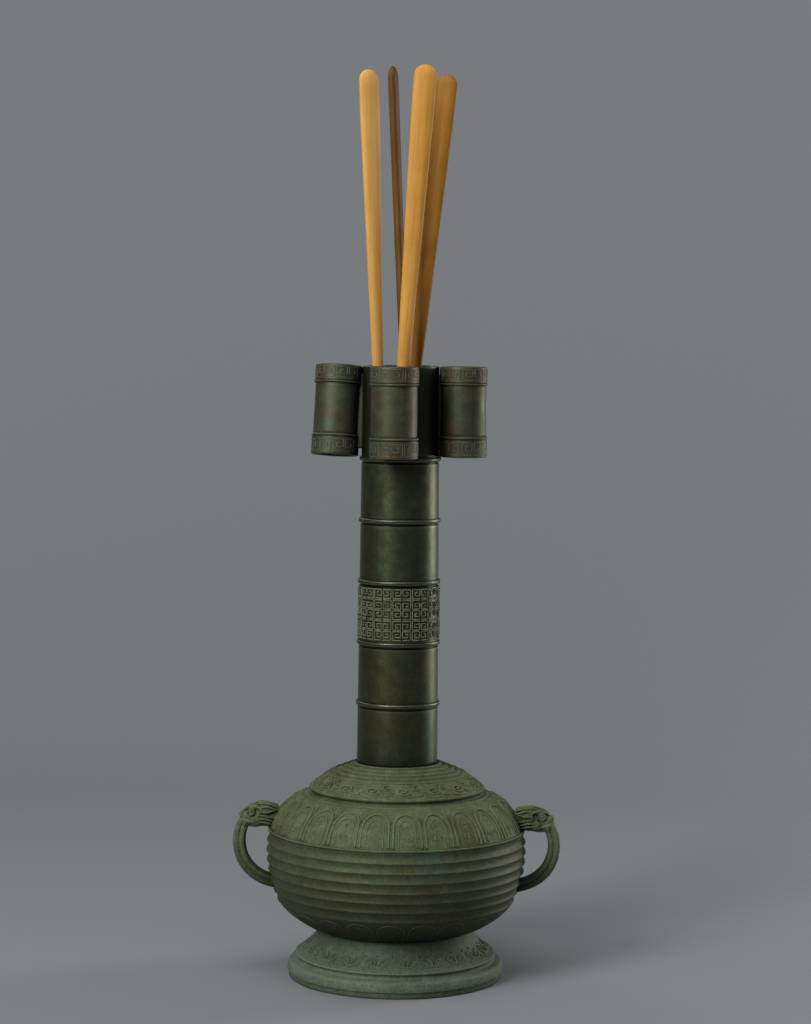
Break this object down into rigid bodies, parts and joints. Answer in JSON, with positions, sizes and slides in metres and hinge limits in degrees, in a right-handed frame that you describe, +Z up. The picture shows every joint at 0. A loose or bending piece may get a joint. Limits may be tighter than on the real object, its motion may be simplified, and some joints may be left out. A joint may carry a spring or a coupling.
{
  "type": "bronze arrow vase",
  "caption": "Bronze pitch-pot vase: fluted belly on a flared foot, long ringed neck with tubular ears at its mouth, beast-head strap handles, and loose wooden throwing arrows that lift out.",
  "frame": {"origin": "middle of the foot's resting face", "axes": "+Z up along the vessel's axis, +X through the right-hand handle, -Y towards the picture's viewer"},
  "size_m": [0.3262, 0.2586, 0.9002],
  "materials": {
    "cast_bronze": "matte green patina on sand-cast bronze",
    "belly_bronze": "brown-green patina, rubbed on the crests",
    "smooth_bronze": "dark patina, semi-gloss",
    "arrow_wood": "smooth pale wood, satin"
  },
  "bodies": {
    "vase": {"pedestal_foot": "cast_bronze", "belly_bowl": "belly_bronze", "floor_plate": "belly_bronze", "shoulder_dome": "cast_bronze", "neck_tube": "smooth_bronze", "ear_tube_front": "smooth_bronze", "ear_tube_right": "smooth_bronze", "ear_tube_rear": "smooth_bronze", "ear_tube_left": "smooth_bronze", "handle_right": "cast_bronze", "handle_left": "cast_bronze"},
    "arrow_1": {"arrow_1": "arrow_wood"},
    "arrow_2": {"arrow_2": "arrow_wood"},
    "arrow_3": {"arrow_3": "arrow_wood"},
    "arrow_4": {"arrow_4": "arrow_wood"}
  },
  "joints": [
    {"name": "arrow_1_lift", "type": "slide", "parent": "vase", "child": "arrow_1", "axis": [-0.0433, 0.042, 0.9982], "range_m": [0, 0.58]},
    {"name": "arrow_2_lift", "type": "slide", "parent": "vase", "child": "arrow_2", "axis": [-0.0463, -0.047, 0.9978], "range_m": [0, 0.58]},
    {"name": "arrow_3_lift", "type": "slide", "parent": "vase", "child": "arrow_3", "axis": [0.0678, -0.0316, 0.9972], "range_m": [0, 0.58]},
    {"name": "arrow_4_lift", "type": "slide", "parent": "vase", "child": "arrow_4", "axis": [0.0971, 0.0472, 0.9941], "range_m": [0, 0.58]}
  ]
}
